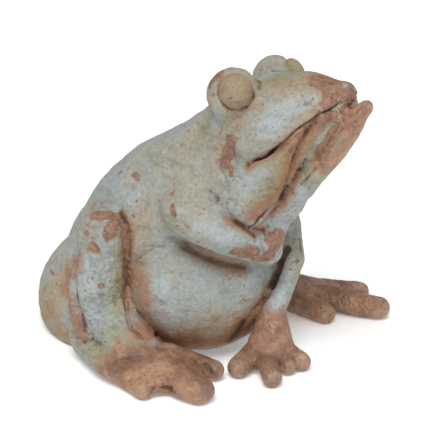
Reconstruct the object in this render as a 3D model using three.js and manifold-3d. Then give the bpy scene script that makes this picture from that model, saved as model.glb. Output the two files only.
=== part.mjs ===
// A seated garden frog in fired clay, its chin propped on one hand and its other hand on the ground.
// It is built as a potter builds it: a hollow torso and head, with the eyes, jaw, arms, hands, legs and
// feet made as separate pieces and luted on with slip.
// The frog faces -Y and its right side is at -X. +Z is up, and the ground is z = 0. Lengths are in millimetres.

import * as THREE from "three";
import { mergeVertices } from "three/addons/utils/BufferGeometryUtils.js";
import Module from "manifold-3d";

const wasm = await Module();
wasm.setup();

// Driving dimensions
const HEIGHT = 285; // from the ground to the top of the higher eye
const HEIGHT_IN_UNITS = 98.2;
const UNIT = HEIGHT / HEIGHT_IN_UNITS; // every shape below is drawn in units of this many millimetres
const WALL = 10; // thickness of the clay in the hollow torso and head
const SLIP_GAP = 0.4; // width of the joint line between two luted pieces
const GROUND_CUT = 600; // size of the block that trims what would reach below the ground

// Shapes, in units.
// A mass is an ellipsoid: its centre and its half sizes.
// A limb is a rounded roll of clay: points along its middle, and the half width and half thickness at each.
const TORSO = [
  {
    path: [[0, 3, 74], [0, 13, 59], [0, 30, 40], [0, 46, 20]],
    girth: [[18, 14], [24.5, 21], [30, 26], [31, 24]],
  },
  { at: [0, 48, 11], half: [35, 32, 24] }, // rump
  { at: [0, 20, 25], half: [31, 27, 27] }, // belly
];
const SKULL = [
  {
    path: [[0, 0, 79], [0, -10, 83], [0, -21, 88], [0, -31, 92.5]],
    girth: [[18, 12], [18, 12.5], [13, 9.5], [7.5, 5]],
  },
];
const RIGHT_LIP = {
  path: [[-15, -9, 76], [-12.5, -18, 81.5], [-7.5, -27, 87], [0, -31, 90.5]],
  girth: [[4.5, 4.5], [5, 5], [5, 5], [5, 5]],
};
const JAW = [
  { path: [[0, -4, 66], [0, -16, 74], [0, -27, 82]], girth: [[17, 11], [13, 8], [6, 5]] },
  { at: [0, -3, 58], half: [20, 14, 16] }, // throat pouch
];
const RIGHT_EYE_MOUNT = { at: [-14, -1, 90.8], half: [7.4, 7.4, 7.4] };
const RIGHT_EYEBALL = { at: [-17, -4.5, 92.5], half: [5.7, 5.7, 5.7] };
const LEFT_EYE_MOUNT = { at: [12.5, 0.5, 88.8], half: [7.4, 7.4, 7.4] };
const LEFT_EYEBALL = { at: [15.5, -3, 90.5], half: [5.7, 5.7, 5.7] };
const RIGHT_UPPER_ARM = {
  path: [[-23, 8, 54], [-20, -3, 49], [-6, -10, 40]],
  girth: [[8, 8], [6.3, 6.3], [5, 5]],
};
const RIGHT_FOREARM = {
  path: [[-6, -9, 40], [-5, -14.5, 54], [-2, -26, 70]],
  girth: [[5, 5], [4.5, 4.5], [5, 4.5]],
};
const RIGHT_HAND = [
  { path: [[-1, -27, 72], [-1, -34, 82], [0, -40, 89.5]], girth: [[5.5, 4.5], [5.5, 4], [3, 2.8]] },
  { path: [[-4, -29, 76], [-6, -33, 83], [-5.5, -34, 87]], girth: [[3, 3], [2.6, 2.6], [2, 2]] }, // thumb
];
const LEFT_UPPER_ARM = {
  path: [[20, 12, 52], [15, 0, 43], [8.5, -8, 32]],
  girth: [[8, 8], [6, 6], [5, 5]],
};
const LEFT_FOREARM = {
  path: [[8.5, -8, 32], [6, -9, 20], [1, -8, 11]],
  girth: [[5, 5], [4.5, 4.5], [5, 4.5]],
};
const LEFT_HAND = [
  { path: [[0, -8, 8], [-6, -10, 3]], girth: [[7, 5], [9, 3.8]] },
  { path: [[-8, -9, 3.2], [-20.5, -11.5, 2.4]], girth: [[4, 3.2], [3.5, 3]] },
  { path: [[-8, -8, 3.2], [-16, -18, 2.4]], girth: [[4, 3.2], [3.5, 3]] },
  { path: [[-4, -8, 3.2], [-8, -19, 2.4]], girth: [[4, 3.2], [3, 3]] },
  { path: [[-2, -6, 3.2], [-1, -19, 2.4]], girth: [[4, 3.2], [3.5, 3]] },
];
const RIGHT_LEG = {
  path: [[-32, 36, 42], [-34, 35, 25], [-33, 37, 8]],
  girth: [[8.5, 8.5], [9.5, 9], [9, 9]],
  up: [0, 1, 0],
};
const RIGHT_FOOT = [
  { path: [[-32, 37, 6], [-36, 20, 5], [-38, 4, 4]], girth: [[10, 7], [12.5, 5.5], [10, 3.5]] },
  { path: [[-43, 20, 4], [-46, 10, 3.5]], girth: [[4.5, 4], [3.8, 3.8]] },
  { path: [[-38, 4, 4], [-41, -10, 3.5]], girth: [[5.5, 4], [5, 4]] },
  { path: [[-30, 10, 4], [-27.5, -2, 3.5]], girth: [[4.5, 4], [4, 4]] },
];
const LEFT_FOOT = [
  { path: [[32, 37, 6], [37, 20, 5], [41, 4, 4]], girth: [[10, 7], [11.5, 4.8], [11, 3.8]] },
  { path: [[46, 6, 3.5], [52, -7, 3.6]], girth: [[5, 3.6], [4, 3.6]] },
  { path: [[42, 2, 4], [45.5, -20, 4]], girth: [[5.5, 4.3], [4.5, 4.3]] },
  { path: [[34, 6, 4], [32, -8, 4]], girth: [[5, 4], [4.2, 4.2]] },
];

const flipped = ([x, y, z]) => [-x, y, z];
function mirrored(shape) {
  if (Array.isArray(shape)) return shape.map(mirrored);
  return shape.path ? { ...shape, path: shape.path.map(flipped) } : { ...shape, at: flipped(shape.at) };
}

// A closed three.js geometry as a solid that can be joined and cut.
function solidOf(geometry) {
  geometry.deleteAttribute("normal");
  geometry.deleteAttribute("uv");
  const merged = mergeVertices(geometry);
  return new wasm.Manifold(
    new wasm.Mesh({
      numProp: 3,
      vertProperties: merged.attributes.position.array,
      triVerts: new Uint32Array(merged.index.array),
    }),
  );
}

// The larger shapes get more sides.
function sidesFor(halfWidth) {
  return halfWidth > 12 ? 22 : halfWidth > 5.5 ? 14 : 10;
}

// grow is how many millimetres larger than drawn the shape is made, all round.
function mass({ at, half }, grow) {
  const around = sidesFor(half[0]);
  const geometry = new THREE.SphereGeometry(1, around, Math.round(around * 0.6));
  geometry.rotateX(Math.PI / 2);
  geometry.scale(...half.map((size) => size * UNIT + grow));
  geometry.translate(...at.map((place) => place * UNIT));
  return solidOf(geometry);
}

function smoothLine(points) {
  return new THREE.CatmullRomCurve3(points.map((point) => new THREE.Vector3(...point).multiplyScalar(UNIT)));
}

// A capsule bent along a smooth line through the limb's points.
function limb({ path, girth, up = [0, 0, 1] }, grow) {
  const line = smoothLine(path);
  const sizes = smoothLine(girth.map(([width, thickness]) => [width, thickness, 0]));
  const around = sidesFor(girth[0][0]);
  const geometry = new THREE.CapsuleGeometry(1, 2, 2, around, 2 * (path.length - 1));
  const points = geometry.attributes.position;
  const vertex = new THREE.Vector3();
  for (let i = 0; i < points.count; i++) {
    vertex.fromBufferAttribute(points, i);
    const along = THREE.MathUtils.clamp(vertex.y, -1, 1);
    const t = (along + 1) / 2;
    const size = sizes.getPoint(t);
    const tangent = line.getTangent(t);
    const side = new THREE.Vector3().crossVectors(tangent, new THREE.Vector3(...up)).normalize();
    const rise = new THREE.Vector3().crossVectors(side, tangent);
    const place = line
      .getPoint(t)
      .addScaledVector(side, vertex.x * (size.x + grow))
      .addScaledVector(rise, vertex.z * (size.y + grow))
      .addScaledVector(tangent, (vertex.y - along) * (Math.min(size.x, size.y) + grow));
    points.setXYZ(i, place.x, place.y, place.z);
  }
  return solidOf(geometry);
}

// One or several shapes joined into one solid.
function form(shapes, grow = 0) {
  return [shapes]
    .flat()
    .map((shape) => (shape.path ? limb(shape, grow) : mass(shape, grow)))
    .reduce((joined, solid) => joined.add(solid));
}

function aboveGround(solid) {
  const block = new THREE.BoxGeometry(GROUND_CUT, GROUND_CUT, GROUND_CUT);
  block.translate(0, 0, -GROUND_CUT / 2);
  return solid.subtract(solidOf(block));
}

// A piece without what its neighbours take up, and without the crumbs that such a cut can leave.
function fitted(solid, ...neighbours) {
  const grown = neighbours.map((shapes) => form(shapes, SLIP_GAP));
  const cut = grown.reduce((left, neighbour) => left.subtract(neighbour), aboveGround(solid));
  return cut.decompose().reduce((largest, body) => (body.volume() > largest.volume() ? body : largest));
}

const skull = [...SKULL, RIGHT_LIP, mirrored(RIGHT_LIP)];
const hollow = form(TORSO, -WALL).add(form(SKULL, -WALL));

const COLOURS = { wash: "#a9b0a6", worn: "#a37e66", eye: "#b2957a" };
const frog = new THREE.Group();
function add(name, colour, solid) {
  const { vertProperties, triVerts } = solid.getMesh();
  const geometry = new THREE.BufferGeometry();
  geometry.setAttribute("position", new THREE.BufferAttribute(vertProperties, 3));
  geometry.setIndex(new THREE.BufferAttribute(triVerts, 1));
  geometry.computeVertexNormals();
  const material = new THREE.MeshStandardMaterial({ color: COLOURS[colour], roughness: 0.85 });
  const mesh = new THREE.Mesh(geometry, material);
  mesh.name = name;
  frog.add(mesh);
}

add("torso_shell", "wash", aboveGround(form(TORSO)).subtract(hollow));
add("head_shell", "wash", fitted(form(skull).subtract(hollow), TORSO));
add("lower_jaw", "wash", fitted(form(JAW), TORSO, skull));
for (const [side, mount, ball] of [
  ["right", RIGHT_EYE_MOUNT, RIGHT_EYEBALL],
  ["left", LEFT_EYE_MOUNT, LEFT_EYEBALL],
]) {
  add(side + "_eye_mount", "wash", fitted(form(mount), skull, ball));
  add(side + "_eyeball", "eye", fitted(form(ball), skull));
}
add("right_upper_arm", "wash", fitted(form(RIGHT_UPPER_ARM), TORSO, JAW));
add("right_forearm", "wash", fitted(form(RIGHT_FOREARM), TORSO, JAW, skull, RIGHT_UPPER_ARM));
add("right_hand", "worn", fitted(form(RIGHT_HAND), JAW, skull, RIGHT_FOREARM));
add("left_upper_arm", "wash", fitted(form(LEFT_UPPER_ARM), TORSO, JAW));
add("left_forearm", "wash", fitted(form(LEFT_FOREARM), TORSO, LEFT_UPPER_ARM));
add("left_hand", "worn", fitted(form(LEFT_HAND), TORSO, LEFT_FOREARM));
for (const [side, leg, foot] of [
  ["right", RIGHT_LEG, RIGHT_FOOT],
  ["left", mirrored(RIGHT_LEG), LEFT_FOOT],
]) {
  add(side + "_leg", "wash", fitted(form(leg), TORSO));
  add(side + "_foot", "worn", fitted(form(foot), TORSO, leg));
}

// The origin is on the ground, in the middle of the frog's box.
const box = new THREE.Box3().setFromObject(frog);
const middle = box.getCenter(new THREE.Vector3());
frog.position.set(-middle.x, -middle.y, 0);

export default frog;
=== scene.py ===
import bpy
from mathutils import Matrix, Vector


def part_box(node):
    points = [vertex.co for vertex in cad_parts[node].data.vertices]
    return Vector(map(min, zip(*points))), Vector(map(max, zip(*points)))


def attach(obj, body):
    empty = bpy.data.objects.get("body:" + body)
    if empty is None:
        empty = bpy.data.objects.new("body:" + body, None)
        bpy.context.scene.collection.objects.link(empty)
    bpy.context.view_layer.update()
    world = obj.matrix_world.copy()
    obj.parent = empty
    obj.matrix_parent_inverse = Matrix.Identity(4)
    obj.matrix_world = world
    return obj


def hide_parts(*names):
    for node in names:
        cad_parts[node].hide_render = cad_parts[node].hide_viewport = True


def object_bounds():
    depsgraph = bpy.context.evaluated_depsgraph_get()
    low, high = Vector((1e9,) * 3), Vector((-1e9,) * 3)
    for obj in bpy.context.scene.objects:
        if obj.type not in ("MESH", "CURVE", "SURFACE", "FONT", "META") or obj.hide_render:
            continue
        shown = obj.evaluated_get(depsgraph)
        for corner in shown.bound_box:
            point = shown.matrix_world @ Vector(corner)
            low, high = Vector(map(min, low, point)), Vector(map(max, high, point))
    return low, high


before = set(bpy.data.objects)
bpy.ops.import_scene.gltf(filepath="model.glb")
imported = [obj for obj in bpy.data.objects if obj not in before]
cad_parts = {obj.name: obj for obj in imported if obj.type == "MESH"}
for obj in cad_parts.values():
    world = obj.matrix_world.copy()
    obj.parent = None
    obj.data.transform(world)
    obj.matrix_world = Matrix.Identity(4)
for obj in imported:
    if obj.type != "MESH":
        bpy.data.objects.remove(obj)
cadBox = [list(corner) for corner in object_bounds()]

import math

import bpy
import numpy as np
from mathutils import Vector
from mathutils.kdtree import KDTree

print("frame loaded:", len(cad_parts), "nodes")

# Lengths below are in units, unless they are said to be in millimetres. The frog faces -Y, its right side is at -X,
# and its middle, on the ground, is at 0.
stance = {"height": 98.2, "rightEye": (-17, -4.5)}
mmPerMetre = 1000
unit = cadBox[1][2] / stance["height"]
eyeLow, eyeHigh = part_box("right_eyeball")
eyeX, eyeY = stance["rightEye"]
middle = Vector(((eyeLow.x + eyeHigh.x) / 2 - eyeX * unit, (eyeLow.y + eyeHigh.y) / 2 - eyeY * unit, 0))


def place(point):
    return middle + Vector(point) * unit


def only(*objects):
    bpy.ops.object.select_all(action="DESELECT")
    for each in objects:
        each.select_set(True)
    bpy.context.view_layer.objects.active = objects[0]


def discard(piece):
    bpy.data.objects.remove(piece, do_unlink=True)


def modify(piece, kind, **settings):
    only(piece)
    modifier = piece.modifiers.new(kind.lower(), kind)
    for name, value in settings.items():
        setattr(modifier, name, value)
    bpy.ops.object.modifier_apply(modifier=modifier.name)


def readPoints(piece):
    points = np.empty(len(piece.data.vertices) * 3)
    piece.data.vertices.foreach_get("co", points)
    return points.reshape(-1, 3)


def writePoints(piece, points):
    piece.data.vertices.foreach_set("co", points.ravel())
    piece.data.update()


def readNormals(piece):
    normals = np.empty(len(piece.data.vertices) * 3)
    piece.data.vertices.foreach_get("normal", normals)
    return normals.reshape(-1, 3)


# A smooth line through points, read at t from 0 to 1.
def alongLine(points, t):
    points = np.array(points, float)
    padded = np.vstack([2 * points[0] - points[1], points, 2 * points[-1] - points[-2]])
    spans = len(points) - 1
    step = np.clip(np.floor(t * spans).astype(int), 0, spans - 1)
    u = (t * spans - step)[:, None]
    a, b, c, d = (padded[step + k] for k in range(4))
    return 0.5 * (2 * b + (c - a) * u + (2 * a - 5 * b + 4 * c - d) * u**2 + (3 * b - a - 3 * c + d) * u**3)


# How finely balls and rolls are meshed before they are pressed together
meshing = {"ballSegments": 48, "ballRings": 32, "rollSegments": 32, "capRings": 5, "spanRings": 6}


# A ball of clay: its centre and half sizes, grown all round by some millimetres.
def ball(at, half, grow=0):
    bpy.ops.mesh.primitive_uv_sphere_add(
        segments=meshing["ballSegments"], ring_count=meshing["ballRings"], radius=1, location=place(at)
    )
    lump = bpy.context.object
    lump.scale = [size * unit + grow / mmPerMetre for size in half]
    bpy.ops.object.transform_apply(location=True, rotation=True, scale=True)
    return lump


# A roll of clay with round ends: points along its middle, and its half width and half thickness at each.
def roll(path, girth, up=(0, 0, 1), grow=0):
    caps, rings = meshing["capRings"], meshing["capRings"] * 2 + meshing["spanRings"] * (len(path) - 1)
    bpy.ops.mesh.primitive_uv_sphere_add(segments=meshing["rollSegments"], ring_count=rings, radius=1)
    lump = bpy.context.object
    points = readPoints(lump)
    ring = np.rint(np.arccos(np.clip(points[:, 2], -1, 1)) / math.pi * rings)
    around = np.arctan2(points[:, 1], points[:, 0])
    t = np.clip((ring - caps) / (rings - 2 * caps), 0, 1)
    # From -1 at the start's tip to 1 at the end's, and 0 between the caps
    tip = np.where(ring < caps, ring / caps - 1, np.where(ring > rings - caps, 1 - (rings - ring) / caps, 0))
    size = alongLine(girth, t) * unit + grow / mmPerMetre
    line = alongLine(path, t) * unit
    nudge = 0.01
    ahead = alongLine(path, np.clip(t + nudge, 0, 1)) - alongLine(path, np.clip(t - nudge, 0, 1))
    ahead /= np.linalg.norm(ahead, axis=1, keepdims=True)
    side = np.cross(ahead, np.array(up, float))
    side /= np.linalg.norm(side, axis=1, keepdims=True)
    rise = np.cross(side, ahead)
    bend = np.cos(tip * math.pi / 2)
    points = (
        np.array(middle)
        + line
        + side * (np.cos(around) * bend * size[:, 0])[:, None]
        + rise * (np.sin(around) * bend * size[:, 1])[:, None]
        + ahead * (np.sin(tip * math.pi / 2) * size.min(axis=1))[:, None]
    )
    writePoints(lump, points)
    only(lump)
    bpy.ops.object.mode_set(mode="EDIT")
    bpy.ops.mesh.select_all(action="SELECT")
    bpy.ops.mesh.normals_make_consistent(inside=False)
    bpy.ops.object.mode_set(mode="OBJECT")
    return lump


def lumps(shapes, grow=0):
    return [roll(grow=grow, **shape) if "path" in shape else ball(grow=grow, **shape) for shape in shapes]


# Several lumps pressed into one, with an even skin of the given grain in millimetres.
def pressed(name, pieces, grain):
    only(*pieces)
    if len(pieces) > 1:
        bpy.ops.object.join()
    lump = bpy.context.object
    lump.name = lump.data.name = name
    modify(lump, "REMESH", mode="VOXEL", voxel_size=grain / mmPerMetre, adaptivity=0)
    return lump


def otherSide(line):
    return [(-x, y, z) for x, y, z in line]


def mirrored(rolls):
    return [{**shape, "path": otherSide(shape["path"])} for shape in rolls]


# Torso, with the haunches, rump and belly
torso = [
    {
        "path": [(0, 3, 74), (0, 13, 59), (0, 30, 40), (0, 46, 20)],
        "girth": [(18, 14), (24.5, 20), (30, 26), (31, 24)],
    },
    {"at": (0, 43.5, 26), "half": (29.5, 23.5, 23.5)},
    {"at": (0, 48, 9.5), "half": (35, 31, 25)},
    {"at": (0, 20, 25), "half": (31, 27, 27)},
    {"at": (-21, 27.5, 25), "half": (8, 7, 20)},
    {"at": (21, 27.5, 25), "half": (8, 7, 20)},
]

# Head, lips and jaw, of which the lips and the pouch are mirrored
skull = [
    {
        "path": [(0, 0, 79), (0, -10, 83), (0, -21, 88), (0, -31, 91.7)],
        "girth": [(18, 12), (18, 12.5), (13, 9.5), (7.5, 5)],
    },
]
lip = [
    {
        "path": [(-15, -9, 76), (-12.5, -18, 81.5), (-7.5, -27, 87), (0, -31, 90)],
        "girth": [(4.5, 4.5), (5, 5), (5, 5), (5, 5)],
    },
]
jaw = [
    {"path": [(0, -4, 66), (0, -16, 74), (0, -27, 82)], "girth": [(17, 11), (13, 8), (6, 5)]},
    {"at": (0, -3, 58), "half": (20, 14, 16)},
]
pouch = [
    {
        "path": [(-4.6, -30, 86.2), (-9.8, -19.3, 75.8), (-11, -11.8, 67), (-13, -6.2, 57)],
        "girth": [(3.8, 3.8), (6.2, 6.2), (8.6, 8.6), (8.4, 8.4)],
    },
    {
        "path": [(-12, -9, 67), (-11.8, -18, 73.6), (-10.5, -24.5, 80), (-5, -31, 87)],
        "girth": [(4, 4), (4, 4), (3.8, 3.8), (2.5, 2.5)],
    },
]

# Eyes
rightMount = [{"at": (-13.1, -2, 90.3), "half": (8.2, 8.2, 8.2)}]
rightBall = [{"at": (-16.6, -5.4, 92.7), "half": (5.6, 5.6, 5.6)}]
leftMount = [{"at": (12.5, 0.5, 88.8), "half": (7.4, 7.4, 7.4)}]
leftBall = [{"at": (14.8, -2.4, 90), "half": (5.4, 5.4, 5.4)}]

# Arm under the chin
rightUpperArm = [{"path": [(-23, 8, 54), (-20, -3, 48.5), (-6, -10, 40)], "girth": [(8.5, 8.5), (6.8, 6.8), (5, 5)]}]
rightForearm = [{"path": [(-6, -9, 40), (-5, -14.5, 54), (-2, -26, 70)], "girth": [(5, 5), (4.5, 4.5), (5, 4.5)]}]
rightHand = [
    {"path": [(-1.8, -26, 71), (-1.8, -33.5, 81), (-0.2, -41, 90.6)], "girth": [(5.5, 4.8), (6, 4.8), (2.5, 2.3)]},
    {"path": [(-3.6, -26, 73), (-5, -29.6, 80), (-3.8, -33.2, 86.6)], "girth": [(3.5, 3.2), (3.5, 3.2), (2.8, 2.5)]},
]

# Arm to the ground
leftUpperArm = [{"path": [(20, 12, 52), (15, 0, 43), (9.5, -8, 31)], "girth": [(8, 8), (6, 6), (5, 5)]}]
leftForearm = [{"path": [(9.5, -8, 31), (5.4, -9, 25.4), (-2, -9.5, 17.5)], "girth": [(5, 5), (4, 4), (4.2, 4)]}]
leftHand = [
    {"path": [(-1.5, -9.5, 17), (-5, -11, 9), (-8, -13.5, 4)], "girth": [(4.2, 4), (7, 5), (9, 4)]},
    {"path": [(-8, -8, 5), (-18, -7.8, 3)], "girth": [(4.5, 4), (3.5, 3.3)]},
    {"path": [(-9, -12, 4.5), (-17, -20.3, 2.8)], "girth": [(4, 3.4), (3.1, 3.1)]},
    {"path": [(-4, -10, 4), (-7.5, -19.5, 2.8)], "girth": [(3.6, 3.2), (2.6, 2.8)]},
    {"path": [(-2, -9, 5), (-2.2, -21, 3)], "girth": [(4.5, 4.2), (3.2, 3.2)]},
]

# Hind legs and feet
rightLeg = [
    {
        "path": [(-31, 36, 43), (-34, 35, 25), (-33, 37, 8)],
        "girth": [(7.8, 7.8), (9.9, 9.2), (9.4, 9)],
        "up": (0, 1, 0),
    },
]
rightFoot = [
    {"path": [(-32, 37, 6), (-36, 20, 5), (-36.5, 3, 4.2)], "girth": [(10, 7), (12.6, 6.4), (11.5, 4.4)]},
    {"path": [(-33, 34, 21), (-34.5, 25, 11.5), (-37, 13, 6)], "girth": [(8.6, 8), (8.8, 7), (8, 4.6)]},
    {"path": [(-42, 18, 3.6), (-47.6, 6.2, 2.8)], "girth": [(5.5, 4), (3.2, 3.2)]},
    {"path": [(-38, 4, 4.2), (-39.2, -9.3, 3.6)], "girth": [(6.5, 4.4), (4.8, 4)]},
    {"path": [(-29, 12, 5), (-24.3, -3, 3.3)], "girth": [(5.5, 4.6), (3.6, 3.5)]},
    {"path": [(-34, 13, 3.6), (-31, 0, 3)], "girth": [(9, 4.4), (7.5, 3.4)]},
]
leftFoot = [
    {"path": [(32, 37, 6), (37, 20, 5), (41, 4, 4.2)], "girth": [(10, 7), (11.5, 5), (11, 4.4)]},
    {"path": [(33, 34, 21), (34.5, 25, 11.5), (38, 13, 5)], "girth": [(8.6, 8), (8.4, 6.5), (7, 4)]},
    {"path": [(47, 7, 3.6), (54.5, -6, 3.6)], "girth": [(5, 3.8), (3.6, 3.6)]},
    {"path": [(42, 2, 4), (46.8, -19, 3.6)], "girth": [(5.8, 4.5), (3.8, 3.8)]},
    {"path": [(34, 6, 4), (33, -6.5, 3.3)], "girth": [(5, 4.2), (3.6, 3.6)]},
]

shapes = {
    "torso_shell": torso,
    "head_shell": skull + lip + mirrored(lip),
    "lower_jaw": jaw + pouch + mirrored(pouch),
    "right_eye_mount": rightMount,
    "right_eyeball": rightBall,
    "left_eye_mount": leftMount,
    "left_eyeball": leftBall,
    "right_upper_arm": rightUpperArm,
    "right_forearm": rightForearm,
    "right_hand": rightHand,
    "left_upper_arm": leftUpperArm,
    "left_forearm": leftForearm,
    "left_hand": leftHand,
    "right_leg": rightLeg,
    "left_leg": mirrored(rightLeg),
    "right_foot": rightFoot,
    "left_foot": leftFoot,
}

# The clay: the grain of its mesh, its lumps as sizes and depths, and its wall, all in millimetres
sculpt = {
    "grain": 1.6,
    "smoothing": 4, # steps
    "uneven": [(26, 2.4), (8, 1.2)],
    "wall": 10,
    "hollowGrain": 4,
    "formGrain": 2.5,
    "sharpAngle": 38, # degrees, past which an edge is drawn sharp
}
figure = pressed("figure", lumps([shape for group in shapes.values() for shape in group]), sculpt["grain"])
modify(figure, "SMOOTH", factor=0.5, iterations=sculpt["smoothing"])


# How near each point of a piece is to a spot: 1 at its middle, 0 at its radius.
def nearness(points, spots):
    near = np.zeros(len(points))
    for spot, radius in spots:
        away = np.linalg.norm(points - np.array(place(spot)), axis=1) / (radius * unit)
        near = np.maximum(near, np.clip(1 - away, 0, 1))
    return near * near * (3 - 2 * near)


# The thumb rubs the clay smooth round each spot.
def soften(lump, spots, steps):
    shades = 20 # how finely the edge of a rubbed spot fades
    levels = np.rint(nearness(readPoints(lump), spots) * shades).astype(int)
    group = lump.vertex_groups.new(name="soft")
    for level in range(1, shades + 1):
        group.add(np.flatnonzero(levels == level).tolist(), level / shades, "REPLACE")
    modify(lump, "SMOOTH", factor=0.5, iterations=steps, vertex_group="soft")
    lump.vertex_groups.clear()


# Where the joins are rubbed smooth, as a middle and a radius: broadly at first, and then the finer ones.
rubs = {
    "broad": {
        "steps": 160,
        "bothSides": [
            ((-24, 9, 55), 16), # shoulder
            ((-22, 14, 62), 16),
            ((-33, 46, 38), 17), # haunch
            ((-28, 40, 47), 13),
            ((-16, 4, 76), 12), # neck
            ((-17, -2, 68), 13),
            ((-18, -6, 72), 10), # corner of the mouth
            ((-13, -14, 86), 9), # cheek
            ((-18, 22, 60), 16), # shoulder blade
        ],
        "once": [((0, 58, 33), 22), ((-16, 58, 32), 22), ((16, 58, 32), 22), ((0, 8, 84), 14)], # rump and nape
    },
    "fine": {
        "steps": 40,
        "bothSides": [
            ((-14, -9, 80), 8), # lips
            ((-9, -22, 87), 8),
            ((-34, 32, 16), 12), # ankle
            ((-34, 26, 10), 13),
            ((-36, 10, 7), 9), # foot
            ((-14, -1, 83.5), 6), # under the eye
        ],
        "once": [
            ((-4, -12, 45), 4), # elbow
            ((-2, -25, 70), 6), # right wrist
            ((4, -9, 24), 6), # left forearm
            ((-3, -10, 15), 7), # left hand
            ((-8, -12, 6), 7),
            ((0, -33, 92), 5), # snout
        ],
    },
}
for rub in rubs.values():
    otherSpots = [(otherSide([spot])[0], radius) for spot, radius in rub["bothSides"]]
    soften(figure, rub["bothSides"] + otherSpots + rub["once"], rub["steps"])
print("figure pressed:", len(figure.data.vertices), "points")


# The points within reach of a line, how far each is from it in units, and where along it, from 0 to 1.
def fromLine(points, line, reach):
    line = (np.array(line, float) * unit + np.array(middle)).reshape(-1, 3)
    inside = (points > line.min(axis=0) - reach * unit) & (points < line.max(axis=0) + reach * unit)
    which = np.flatnonzero(inside.all(axis=1))
    points = points[which]
    nearest, along = np.full(len(points), np.inf), np.zeros(len(points))
    spans = max(len(line) - 1, 1)
    noLength = 1e-12 # keeps a single point, a line without length, from dividing by 0
    for k in range(spans):
        start, step = line[k], line[min(k + 1, len(line) - 1)] - line[k]
        t = np.clip((points - start) @ step / max(step @ step, noLength), 0, 1)
        away = np.linalg.norm(points - start - t[:, None] * step, axis=1)
        closer = away < nearest
        nearest[closer], along[closer] = away[closer], (k + t[closer]) / spans
    return which, nearest / unit, along


# A finer mesh within reach of the lines, so that it can take a narrow crease.
def finer(lump, lines, reach):
    near = np.zeros(len(lump.data.vertices), bool)
    points = readPoints(lump)
    for line in lines:
        which, away, _ = fromLine(points, line, reach)
        near[which] |= away < reach
    only(lump)
    bpy.ops.object.mode_set(mode="EDIT")
    bpy.ops.mesh.select_all(action="DESELECT")
    bpy.ops.mesh.select_mode(type="VERT")
    bpy.ops.object.mode_set(mode="OBJECT")
    lump.data.vertices.foreach_set("select", near)
    bpy.ops.object.mode_set(mode="EDIT")
    bpy.ops.mesh.select_mode(type="FACE")
    bpy.ops.mesh.subdivide(number_cuts=1)
    bpy.ops.object.mode_set(mode="OBJECT")


# A tool's mark: its spread in widths, the share of the line over which it sinks in, and how deep its ends are
tool = {"spread": 3, "sinksOver": 0.12, "atEnds": 0.25}


# A tool drawn along a line: it presses in by the depth, or raises a ridge where the depth is negative.
def press(lump, line, width, depth):
    points = readPoints(lump)
    which, away, along = fromLine(points, line, width * tool["spread"])
    sunkIn = np.clip(np.minimum(along, 1 - along) / tool["sinksOver"], tool["atEnds"], 1)
    points[which] -= readNormals(lump)[which] * (np.exp(-((away / width) ** 2)) * sunkIn * depth * unit)[:, None]
    writePoints(lump, points)


# The ring where a ball sits in its mount.
def ringRound(inner, outer):
    centre, other = np.array(inner["at"], float), np.array(outer["at"], float)
    towards = centre - other
    apart = np.linalg.norm(towards)
    towards /= apart
    reach = (apart**2 + outer["half"][0] ** 2 - inner["half"][0] ** 2) / (2 * apart)
    radius = math.sqrt(outer["half"][0] ** 2 - reach**2)
    across = np.cross(towards, (0, 0, 1))
    across /= np.linalg.norm(across)
    upward = np.cross(across, towards)
    corners = 24
    angles = np.linspace(0, 2 * math.pi, corners + 1)
    return [tuple(other + towards * reach + radius * (across * math.cos(a) + upward * math.sin(a))) for a in angles]


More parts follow.
